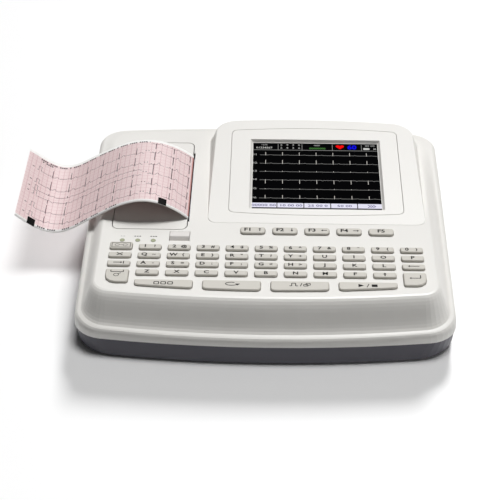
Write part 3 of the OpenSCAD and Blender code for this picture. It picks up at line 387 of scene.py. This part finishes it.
def paper_material():
    """Thermal paper: a pink grid of 1 mm and 5 mm lines between white margins, and painted shade at the slot:
    a darker red band where the paper turns down into it.
    """
    shade = Shade("paper_grid")
    split = shade.nodes.new("ShaderNodeSeparateXYZ")
    shade.join(shade.node("UVMap", "UV", {}), split.inputs["Vector"])
    along, across = split.outputs["X"], split.outputs["Y"]

    def calc(operation, *values):
        """The result of one step of arithmetic."""
        return shade.node("Math", 0, dict(enumerate(values)), operation=operation)

    def ruling(coord, pitch, width):
        """1 on lines of this pitch and width, 0 between them."""
        return calc("LESS_THAN", calc("PINGPONG", coord, pitch / 2), width / 2)

    fine = calc("MAXIMUM", ruling(along, FINE_PITCH, 0.2), ruling(across, FINE_PITCH, 0.2))
    bold = calc("MAXIMUM", ruling(along, BOLD_PITCH, 0.55), ruling(across, BOLD_PITCH, 0.36))
    inside = calc("LESS_THAN", calc("ABSOLUTE", across), PAPER_W / 2 - PAPER_MARGIN)
    # Painted shade: the first mm or so of paper out of the slot is coloured a darker red, standing in for the
    # shade where the paper turns steeply down into the slot.
    slot_shade = calc("LESS_THAN", along, SLOT_SHADE_REACH)
    grid = shade.mix(fine, (0.845, 0.70, 0.695), (0.76, 0.565, 0.57))
    grid = shade.mix(bold, grid, (0.66, 0.43, 0.45))
    grid = shade.mix(slot_shade, grid, (0.62, 0.30, 0.28))
    bump = {"Strength": 0.08, "Distance": BUMP_DEPTH, "Height": shade.noise(FIBRE_SCALE)}
    return shade.done({
        "Base Color": shade.mix(inside, (0.93, 0.92, 0.90), grid),
        "Roughness": 0.55,
        "Normal": shade.node("Bump", "Normal", bump),
    })


def build_paper():
    """The strip that hangs out of the slot, as two skins joined round their rim."""
    verts, faces, uvs = [], [], []
    for lift in (PAPER_T / 2, -PAPER_T / 2):
        for s in RUN:
            for j in range(ROWS + 1):
                v = -PAPER_W / 2 + PAPER_W * j / ROWS
                verts.append(on_paper(s, v, lift))
                uvs.append((s, v))
    stride, layer = ROWS + 1, (STEPS + 1) * (ROWS + 1)
    for i in range(STEPS):
        for j in range(ROWS):
            a = i * stride + j
            b = a + layer
            faces.append((a, a + 1, a + stride + 1, a + stride))
            faces.append((b, b + stride, b + stride + 1, b + 1))
    rim = [i * stride for i in range(STEPS + 1)] + [STEPS * stride + j for j in range(1, stride)]
    rim += [i * stride + ROWS for i in range(STEPS - 1, -1, -1)] + list(range(ROWS - 1, 0, -1))
    for a, b in zip(rim, rim[1:] + rim[:1]):
        faces.append((a, b, b + layer, a + layer))
    obj = add_mesh("paper_sheet", verts, faces, paper_material(), "strip")
    uv_layer = obj.data.uv_layers.new(name="UVMap")
    for loop in obj.data.loops:
        uv_layer.data[loop.index].uv = uvs[loop.vertex_index]
    for polygon in obj.data.polygons[: 2 * STEPS * ROWS]:
        polygon.use_smooth = True
    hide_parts("paper_strip")


build_paper()

# ---- Recording on the paper ----
BEAT = 18.3  # length of one beat
BEATS = 10
FIRST_STROKE = 4.2
STROKE = 0.275  # phase of the stroke within a beat
# Rows of the two halves of the recording: place across the paper, height of the stroke, height of the wave
LATE_ROWS = [
    (45.0, -8.5, 2.6), (29.5, -12.5, 4.0), (9.5, -11.0, 4.2),
    (-6.5, 6.0, 3.4), (-23.5, 9.5, 2.8), (-39.5, 9.0, 2.2),
]
EARLY_ROWS = [
    (28.5, 9.5, 2.2), (9.0, 12.0, 3.0), (-1.0, 2.6, 1.2),
    (-8.5, -4.5, -1.6), (-26.5, 11.0, 1.4), (-40.5, 8.0, 2.2),
]
LATE_START, LATE_END, EARLY_START, EARLY_END = 3.0, 46.0, 50.0, 163.0
HALVES = [  # rows, start, end, width of the stroke
    (LATE_ROWS, LATE_START, LATE_END, 0.7),
    (EARLY_ROWS, EARLY_START, EARLY_END, 0.5),
]
CURVE_W, PULSE_W, DASH_W = 0.36, 0.4, 0.9
PULSE_H, PULSE_L = 6.5, 3.0
# Small print along both margins, as plain dashes: start, end, place across the paper
SMALL_PRINT = [
    (50, 81, 48.6), (84, 104, 48.2), (106, 122, 47.6), (124, 136, 47.0), (138, 166, 46.4), (152, 164, 43.6),
    (72, 84, -48.6), (92, 99, -48.8), (104, 118, -49.0), (124, 134, -49.2), (138, 156, -49.4),
]
INDEX_MARKS = (24.5, 158.3)
MARK_CELLS, MARK_W = 8, 10.0  # length of an index mark in cells of 1 mm, and its width
PRINT_STEP, PRINT_L, PRINT_H = 2, 1.4, 1.7


def heart_beat(height, wave):
    """One beat as (phase, value), the phase from 0 to 1."""
    return [
        (0.0, 0.0), (0.10, 0.0), (0.14, 0.5 * wave), (0.18, 0.0), (0.24, 0.0), (0.262, -0.06 * height),
        (STROKE, height), (0.288, -0.2 * height), (0.31, 0.0), (0.42, 0.05 * wave), (0.50, 0.85 * wave),
        (0.55, wave), (0.62, 0.1 * wave), (0.70, 0.0), (1.0, 0.0),
    ]


def recording():
    """Curves, small print and index marks on the paper."""
    ink = Sheet(on_paper, PAPER_T / 2 + 0.06)
    bold = Sheet(on_paper, PAPER_T / 2 + 0.08)
    for rows, start, stop, width in HALVES:
        for k, (base, height, wave) in enumerate(rows):
            points = []
            for beat in range(BEATS):
                stroke = FIRST_STROKE + beat * BEAT
                for phase, value in heart_beat(height, wave):
                    s = stroke + (STROKE - phase) * BEAT
                    if start < s < stop:
                        points.append((s, base + value + 0.5 * math.sin(s / 5.0 + k)))
                if start < stroke < stop:
                    bold.line([(stroke, base), (stroke, base + height)], width)
            points.sort()
            ink.line(points, CURVE_W)
    for base, _, _ in EARLY_ROWS:
        # Pulse of 1 mV at the start of the recording
        top = base + PULSE_H
        rise, fall, foot = EARLY_END, EARLY_END + PULSE_L, EARLY_END + PULSE_L + 2.0
        ink.line([(rise, base), (rise, top), (fall, top), (fall, base), (foot, base)], PULSE_W)
        bold.line([(EARLY_END + 8.0, base + 1.5), (EARLY_END + 10.0, base + 1.5)], DASH_W)
    for base, _, _ in LATE_ROWS:
        for s in (LATE_END + 0.6, EARLY_START - 0.6):
            bold.line([(s, base + 3.2), (s + 1.0, base + 3.2)], DASH_W)
    for first, last, v in SMALL_PRINT:
        for k, s in enumerate(range(first, last, PRINT_STEP)):
            if k % 5 != 4:  # a gap after every fourth dash
                bold.rectangle(s, s + PRINT_L, v - PRINT_H / 2, v + PRINT_H / 2)
    ink.build("paper_traces", flat_ink("trace_ink", (0.13, 0.085, 0.10)), "strip")
    bold.build("paper_strokes", flat_ink("stroke_ink", (0.05, 0.035, 0.045)), "strip")
    marks = Sheet(on_paper, PAPER_T / 2 + 0.07)
    for s in INDEX_MARKS:
        for k in range(MARK_CELLS):
            marks.rectangle(s + k, s + k + 1, -PAPER_W / 2 + 0.1, -PAPER_W / 2 + MARK_W)
    marks.build("paper_index_marks", flat_ink("mark_ink", (0.002, 0.002, 0.002)), "strip")


recording()

# ---- Screen, in millimetres from its lower left corner ----
SCREEN_X, SCREEN_Y = 0.8, 56.9
SCREEN_W, SCREEN_L = 126.3, 95.0
SCREEN_LIFT = -BEZEL_T + 0.06
SCREEN_MARGIN = 0.6
# Rows of curves: place up the screen, height of the stroke, height of the wave
SCREEN_ROWS = [
    (76.7, 4.3, 0.5), (64.0, 5.2, 0.7), (51.9, 1.2, 0.1),
    (39.6, -5.2, -0.7), (26.4, 0.9, 0.1), (13.4, 4.3, 0.6),
]
SCREEN_BEAT, SCREEN_BEATS, SCREEN_FIRST = 16.35, 7, 14.7
HEADER_Y = (84.2, 84.8)  # the line under the header
HEADER_X = (26.8, 50.2, 79.9, 108.4)  # the lines that divide it
HIGH_WORDS, LOW_WORDS = 92.4, 87.7  # the header's two rows
HEART_X, HEART_Y, HEART_POINTS = 87.3, 90.2, 40
BAR_Y = (0.4, 6.7)
BAR_EDGES = [0.6, 26.3, 51.5, 76.6, 101.7, SCREEN_W - 0.1]
BAR_LABELS = ["00000 00", "10 00 00", "25 00 0", "50 00", ""]
BAR_GAP = 0.8
TRACE_W, STROKE_W = 0.42, 0.55


def on_screen(x, y, z):
    """A point on the screen, in metres."""
    return display(SCREEN_X + x - SCREEN_W / 2, SCREEN_Y + y - SCREEN_L / 2, SCREEN_LIFT + z)


class Picture(Sheet):
    """Lit shapes on the screen."""

    def __init__(self, lift=0.03):
        super().__init__(on_screen, lift)

    def show(self, name, light, color):
        """Makes the piece in light of this name and colour."""
        self.build(name, glow(light, color), "housing")


def screen_curves(lines, strokes, labels):
    """Six rows of curves with the number of each row."""
    for k, (y, height, wave) in enumerate(SCREEN_ROWS):
        points = [(9.1, y)]
        for beat in range(SCREEN_BEATS):
            x = SCREEN_FIRST + beat * SCREEN_BEAT
            strokes.line([(x, y - 0.1 * height), (x, y + height)], STROKE_W)
            points += [(x, y), (x + 4.0, y + 0.2), (x + 5.4, y + wave), (x + 7.0, y)]
        points.append((SCREEN_W - SCREEN_MARGIN, y))
        lines.line(points, TRACE_W)
        labels.text("%02d" % (k + 1), 3.9, y + 0.5, 3.8, stretch=1.5)


def screen_header(lines, words, dim):
    """The header's lines, numbers and battery."""
    lines.rectangle(SCREEN_MARGIN, SCREEN_W - SCREEN_MARGIN, *HEADER_Y)
    for x in HEADER_X:
        lines.rectangle(x - 0.25, x + 0.25, HEADER_Y[1], SCREEN_L - 1)
    dim.text("1234", 13.2, 92.3, 3.0)
    words.text("01234567", 13.2, LOW_WORDS, 3.6, stretch=1.1)
    for y in (HIGH_WORDS, LOW_WORDS):
        for k, digit in enumerate("2436"):
            dim.text(digit, 29.9 + k * 5.8, y, 3.6, stretch=1.3)
    dim.text("0000", 64.8, 92.0, 3.0)
    words.rectangle(110.2, 115.7, 86.2, 89.0)  # battery
    words.rectangle(115.7, 116.5, 86.9, 88.3)  # its pole
    dim.text("00 00", 116.7, 92.2, 3.2, stretch=1.3)
    words.text("00", 121.4, 87.4, 3.0)


def heart_outline():
    """The heart in the header, counterclockwise."""
    points = []
    for k in range(HEART_POINTS):
        t = 2 * math.pi * k / HEART_POINTS
        rise = 13 * math.cos(t) - 5 * math.cos(2 * t) - 2 * math.cos(3 * t) - math.cos(4 * t)
        points.append((HEART_X + 4.1 * math.sin(t) ** 3, HEART_Y + 0.23 * rise))
    return points[::-1]


def screen():
    """All that the display shows."""
    ground = Picture(0.0)
    ground.rectangle(0, SCREEN_W, 0, SCREEN_L)
    ground.show("screen_ground", "screen_black", (0.0022, 0.0022, 0.0026))

    lines, strokes, words, dim = Picture(), Picture(0.035), Picture(), Picture()
    screen_curves(lines, strokes, dim)
    screen_header(lines, words, dim)
    lines.show("screen_traces", "screen_grey", (0.27, 0.27, 0.26))
    strokes.show("screen_strokes", "screen_light", (0.58, 0.56, 0.52))
    dim.show("screen_dim_words", "screen_dim", (0.36, 0.36, 0.35))
    words.show("screen_words", "screen_white", (0.60, 0.60, 0.58))

    green, rate, heart = Picture(), Picture(), Picture()
    green.text("00000000", 65.2, 87.3, 3.6, stretch=1.1)
    green.show("screen_green", "screen_green", (0.08, 0.26, 0.06))
    rate.text("60", 99.0, 89.5, 8.6, stretch=1.05, weight=0.04)
    rate.show("screen_rate", "screen_blue", (0.005, 0.005, 0.80))
    heart.polygon(heart_outline())
    heart.show("screen_heart", "screen_red", (0.92, 0.004, 0.004))

    bar, bar_words = Picture(0.02), Picture(0.04)
    for x0, x1, label in zip(BAR_EDGES, BAR_EDGES[1:], BAR_LABELS):
        bar.rectangle(x0, x1 - BAR_GAP, *BAR_Y)
        if label:
            bar_words.text(label, (x0 + x1) / 2, 3.3, 4.2, stretch=1.45)
    for k in range(3):
        # Three arrowheads in the last field
        x0, x1 = 111.0 + 2.4 * k, 113.4 + 2.4 * k
        bar_words.line([(x0, 5.2), (x1, 3.4), (x0, 1.6)], 0.7)
    bar.show("screen_bar", "screen_bar", (0.78, 0.77, 0.90))
    bar_words.show("screen_bar_words", "screen_bar_ink", (0.10, 0.09, 0.24))


screen()

# ---- Release button ----
BUTTON_X, BUTTON_Y = (-87.4, -69.6), (-43.0, -29.8)
BUTTON_LOW, BUTTON_TOP = -6.0, 0.2
BUTTON_ROLL, BUTTON_DROP, BUTTON_LEAN = 7.0, 6.8, 1.3  # the front part rolls down: its depth, drop and curve
BUTTON_SILL = -5.6  # where the roll ends, hidden by the edge of the deck
BUTTON_STEPS = 16
POST_FOOT, POST_HEAD, POST_R, POST_SIDES = -9.0, -2.0, 2.5, 24


def release_button():
    """The lid's release button: flush at the back, rolled down to the front under the finger."""
    (x0, x1), (y0, y1) = BUTTON_X, BUTTON_Y
    curve = []
    for k in range(BUTTON_STEPS + 1):
        share = k / BUTTON_STEPS
        rise = BUTTON_TOP - BUTTON_DROP * share ** BUTTON_LEAN
        curve.append((y0 + BUTTON_ROLL * (1 - share), max(rise, BUTTON_SILL)))
    profile = [(y1, BUTTON_LOW), (y1, BUTTON_TOP)] + curve + [(y0, BUTTON_LOW)]
    count = len(profile)
    verts = [deck(x, y, z) for x in (x0, x1) for y, z in profile]
    faces = [tuple(range(count))[::-1], tuple(range(count, 2 * count))]
    # Open below, where the spring goes in
    faces += [(k, k + 1, count + k + 1, count + k) for k in range(count - 1)]

    foot, head = len(verts), len(verts) + POST_SIDES
    turn = [2 * math.pi * k / POST_SIDES for k in range(POST_SIDES)]
    post_x, post_y = (x0 + x1) / 2, (y0 + y1) / 2
    for z in (POST_FOOT, POST_HEAD):
        verts += [deck(post_x + POST_R * math.cos(a), post_y + POST_R * math.sin(a), z) for a in turn]
    faces += [tuple(range(foot, head))[::-1], tuple(range(head, head + POST_SIDES))]
    for k in range(POST_SIDES):
        a, b = foot + k, foot + (k + 1) % POST_SIDES
        faces.append((a, b, b + POST_SIDES, a + POST_SIDES))
    obj = add_mesh("release_cap", verts, faces, button_pink, "release")
    soften(obj)
    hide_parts("release_button")


release_button()

# ---- Legends on the keys ----
KEY_PITCH_X, KEY_PITCH_Y, KEY_ROW_Y, KEY_D, KEY_W = 26.0, 12.1, -58.0, 7.2, 20.0
KEY_MIDDLE = KEY_D / 2 + 0.3  # from a key's front edge to the middle of its legend
POWER_INSET, POWER_BACK = 1.8, 1.0  # of the frame on the power key: from its sides, and past its back
FKEY_FRONT, FKEY_D, FKEY_PITCH = -32.8, 9.6, 29.2
COMMAND_Y, COMMAND_PITCH = -106.2, 59.1
LEGEND_LIFT, GROOVE_LIFT = KEY_PROUD + 0.05, KEY_PROUD - 0.5
MAIN_SHIFT, SECOND_SHIFT = -4.2, 4.4  # of the two signs on one key
CHARACTER_ROWS = [  # body, main signs, second signs
    ("keys_digits", "1234567890", "!@#$%^&*()"),
    ("keys_letters_upper", "QWERTYUIOP", "~{}\"?+    "),
    ("keys_letters_middle", "ASDFGHJKL", "-=:;<>   "),
    ("keys_letters_lower", "ZXCVBNM", "       "),
]
legend_sheets = {}


def legend(body):
    """The sheet that gathers the legends of one body."""
    if body not in legend_sheets:
        legend_sheets[body] = Sheet(deck, LEGEND_LIFT)
    return legend_sheets[body]


def letter(body, words, x, y, size=5.6):
    """Bold wide letters."""
    legend(body).text(words, x, y, size, stretch=1.2, weight=0.03)


def arrow(body, x, y, dx, dy, length, head=1.7, width=0.8):
    """An arrow about a middle, in the direction (dx, dy)."""
    ink = legend(body)
    tip = (x + dx * length / 2, y + dy * length / 2)
    neck = (tip[0] - dx * head, tip[1] - dy * head)
    ink.line([(x - dx * length / 2, y - dy * length / 2), neck], width)
    ink.polygon([
        tip,
        (neck[0] - dy * head * 0.8, neck[1] + dx * head * 0.8),
        (neck[0] + dy * head * 0.8, neck[1] - dx * head * 0.8),
    ])


def key_middle(column, row):
    """The middle of a key of the block, from its column and row."""
    return (column - 5) * KEY_PITCH_X, KEY_ROW_Y - row * KEY_PITCH_Y + KEY_MIDDLE


def character_legends():
    """Digits, letters and their second signs."""
    for row, (body, mains, seconds) in enumerate(CHARACTER_ROWS):
        for k, (main, second) in enumerate(zip(mains, seconds)):
            x, y = key_middle(k + 1, row)
            if second == " ":
                letter(body, main, x, y)
            else:
                letter(body, main, x + MAIN_SHIFT, y)
                letter(body, second, x + SECOND_SHIFT, y, size=4.6)


def power_legend():
    """Two rings joined by a bar, and the sunk frame round the key's top."""
    grey = flat_ink("legend_grey", (0.16, 0.15, 0.14))
    x, y = key_middle(0, 0)
    ink = Sheet(deck, LEGEND_LIFT)
    for side in (-1, 1):
        ink.ring(x + side * 3.6, y + 1.1, 1.9, 1.5, 0.5)
    ink.line([(x - 1.7, y + 1.1), (x + 1.7, y + 1.1)], 0.5)
    ink.build("legend_power", grey, "key_power")
    groove = Sheet(deck, GROOVE_LIFT)
    x0, x1 = x - KEY_W / 2 + POWER_INSET, x + KEY_W / 2 - POWER_INSET
    groove.outline(x0, x1, KEY_ROW_Y + POWER_INSET, KEY_ROW_Y + KEY_D + POWER_BACK, 0.45)
    groove.build("power_frame", grey, "key_power")


def side_legends():
    """Pictograms of the single keys at both ends of the rows."""
    x, y = key_middle(0, 1)
    for side in (-1, 1):
        legend("key_escape").line([(x - 2.6, y - 1.7 * side), (x + 2.6, y + 1.7 * side)], 0.9)
    x, y = key_middle(0, 2)
    arrow("key_tab", x - 0.6, y, 1, 0, 8)
    legend("key_tab").rectangle(x + 4.0, x + 4.8, y - 1.8, y + 1.8)
    x, y = key_middle(0, 3)
    ink = legend("key_space")
    ink.line([(x - 5.5, y + 1.2), (x - 5.5, y - 1.2), (x + 5.5, y - 1.2), (x + 5.5, y + 1.2)], 0.8)
    ink.ring(x - 0.5, y - 5.4, 2.2, 1.8, 0.6)
    ink.line([(x + 1.2, y - 4.2), (x + 3.4, y - 2.6)], 0.6)
    letter("key_function", "F", *key_middle(8, 3))
    arrow("key_shift", *key_middle(9, 3), 0, 1, 4.4, head=2.0, width=1.0)
    arrow("key_backspace", *key_middle(10, 2), -1, 0, 10)
    x, y = key_middle(10, 3)
    arrow("key_enter", x, y - 4.6, -1, 0, 10)
    legend("key_enter").line([(x + 4.8, y - 4.6), (x + 4.8, y - 0.4)], 0.8)


def function_legends():
    """F1 to F5, the first four with an arrow: up, down, left, right."""
    y = FKEY_FRONT + FKEY_D / 2
    for i, direction in enumerate([(0, 1), (0, -1), (-1, 0), (1, 0), None]):
        x = POD_X + (i - 2) * FKEY_PITCH
        body = "key_f%d" % (i + 1)
        letter(body, "F%d" % (i + 1), x - (4.4 if direction else 0), y + 0.4, size=6.2)
        if direction:
            arrow(body, x + 6.4, y + 0.5, *direction, 4.6 if direction[1] else 5.4)


def command_legends():
    """Pictograms of the four wide keys at the front."""
    y = COMMAND_Y
    mode_x, reset_x, copy_x, start_x = [(i - 1.5) * COMMAND_PITCH for i in range(4)]
    ink = legend("key_mode")
    for x in (mode_x - 6, mode_x, mode_x + 6):
        ink.outline(x - 2, x + 2, y - 1.6, y + 1.6, 0.8)
    ink, x = legend("key_reset"), reset_x
    ink.ring(x, y, 5.2, 2.1, 0.8, start=60)
    ink.polygon([(x + 5.2, y - 2.2), (x + 7.4, y + 0.2), (x + 3.2, y + 0.2)])
    ink, x = legend("key_copy"), copy_x
    pulse = [(-9, -1.7), (-7, -1.7), (-7, 1.9), (-3.6, 1.9), (-3.6, -1.7), (-1.6, -1.7)]
    ink.line([(x + a, y + b) for a, b in pulse], 0.8)
    ink.line([(x + 0.4, y - 2.1), (x + 1.9, y + 2.1)], 0.7)
    for a, b in ((3.4, -0.7), (5.4, 0.7)):
        ink.outline(x + a, x + a + 3.6, y + b - 1.2, y + b + 1.2, 0.7)
    ink, x = legend("key_start"), start_x
    ink.polygon([(x - 8.5, y - 2.1), (x - 3.5, y), (x - 8.5, y + 2.1)])
    ink.line([(x - 1.2, y - 2.2), (x + 0.8, y + 2.2)], 0.7)
    ink.rectangle(x + 3.0, x + 8.0, y - 1.7, y + 1.7)


character_legends()
power_legend()
side_legends()
function_legends()
command_legends()
legend_ink = flat_ink("legend_ink", (0.02, 0.019, 0.018))
for body, sheet in legend_sheets.items():
    sheet.build("legend_" + body, legend_ink, body)

# ---- Marks over the status lights ----
DASH_LIFT, DASH_L, DASH_STEP = 0.04, 1.6, 2.2
FAINT_X, FAINT_Y = (-132.0, -129.6), (-37.9, -37.1)
DARK_LIGHTS, DARK_Y = (-116.5, -102.0), (-38.0, -36.9)


def light_marks():
    """Small plain dashes: two faint ones over the first light, three dark ones over each of the others."""
    faint, dark = Sheet(deck, DASH_LIFT), Sheet(deck, DASH_LIFT)
    for x in FAINT_X:
        faint.rectangle(x, x + DASH_L, *FAINT_Y)
    for light_x in DARK_LIGHTS:
        for k in range(3):
            x = light_x - 3 + k * DASH_STEP
            dark.rectangle(x, x + DASH_L, *DARK_Y)
    faint.build("light_mark_faint", flat_ink("mark_faint", (0.42, 0.41, 0.40)), "housing")
    dark.build("light_marks", flat_ink("mark_grey", (0.10, 0.10, 0.10)), "housing")


light_marks()

# ---- Floor and light ----
FLOOR_REACH = 14.0
FLOOR_WHITE = (0.97, 0.97, 0.97)
WORLD_STRENGTH = 0.04


def add_floor():
    """A white floor, so wide that no view shows its edge."""
    r = FLOOR_REACH
    mesh = bpy.data.meshes.new("floor")
    mesh.from_pydata([(-r, -r, 0), (r, -r, 0), (r, r, 0), (-r, r, 0)], [], [(0, 1, 2, 3)])
    mesh.materials.append(Shade("floor_white").done({"Base Color": FLOOR_WHITE, "Roughness": 0.6}))
    obj = bpy.data.objects.new("floor", mesh)
    scene.collection.objects.link(obj)
    return obj


def area_light(name, place, target, size, power):
    """A rectangular lamp that points at a target."""
    data = bpy.data.lights.new(name, "AREA")
    data.shape = "RECTANGLE"
    data.size, data.size_y = size
    data.energy = power
    obj = bpy.data.objects.new(name, data)
    obj.location = place
    obj.rotation_euler = (Vector(target) - Vector(place)).to_track_quat("-Z", "Y").to_euler()
    scene.collection.objects.link(obj)


def sun(name, source, strength, angle):
    """Light from far away in the direction of source; angle is how wide it is, in degrees."""
    data = bpy.data.lights.new(name, "SUN")
    data.energy = strength
    data.angle = math.radians(angle)
    obj = bpy.data.objects.new(name, data)
    obj.rotation_euler = Vector(source).to_track_quat("Z", "Y").to_euler()
    scene.collection.objects.link(obj)
    return obj


def chosen(name, objects, state):
    """A collection that takes these objects in or out of a light's reach."""
    group = bpy.data.collections.new(name)
    for obj in objects:
        group.objects.link(obj)
    for entry in group.collection_objects:
        entry.light_linking.link_state = state
    return group


# The machine and the floor each have their own light from above and from behind: the machine's comes
# from farther back, and the paper doesn't stop the floor's light from behind.
floor = add_floor()
machine_key = sun("key_light", (0.17, 0.38, 1.0), 2.87, 20.0)
machine_back = sun("back_light", (0.0, 1.0, 1.0), 0.5, 40.0)
floor_key = sun("floor_key_light", (0.17, 0.0, 1.0), 1.6, 24.0)
floor_back = sun("floor_back_light", (0.2, 1.0, 0.64), 2.6, 12.0)
area_light("side_fill", (1.9, -0.9, 0.5), (0.0, -0.1, 0.05), (1.0, 0.8), 4.5)
for light in (machine_key, machine_back):
    light.light_linking.receiver_collection = chosen("not_the_floor", [floor], "EXCLUDE")
for light in (floor_key, floor_back):
    light.light_linking.receiver_collection = chosen("only_the_floor", [floor], "INCLUDE")
paper_objects = [o for o in scene.objects if o.name.startswith("paper_") and o.name not in frame["nodes"]]
floor_back.light_linking.blocker_collection = chosen("not_the_paper", paper_objects, "EXCLUDE")

world = bpy.data.worlds.new("studio")
scene.world = world
world.use_nodes = True
background = world.node_tree.nodes["Background"]
background.inputs["Color"].default_value = (1.0, 1.0, 1.0, 1.0)
background.inputs["Strength"].default_value = WORLD_STRENGTH

scene.view_settings.view_transform = "Standard"
scene.view_settings.look = "None"
scene.view_settings.exposure = 0.0
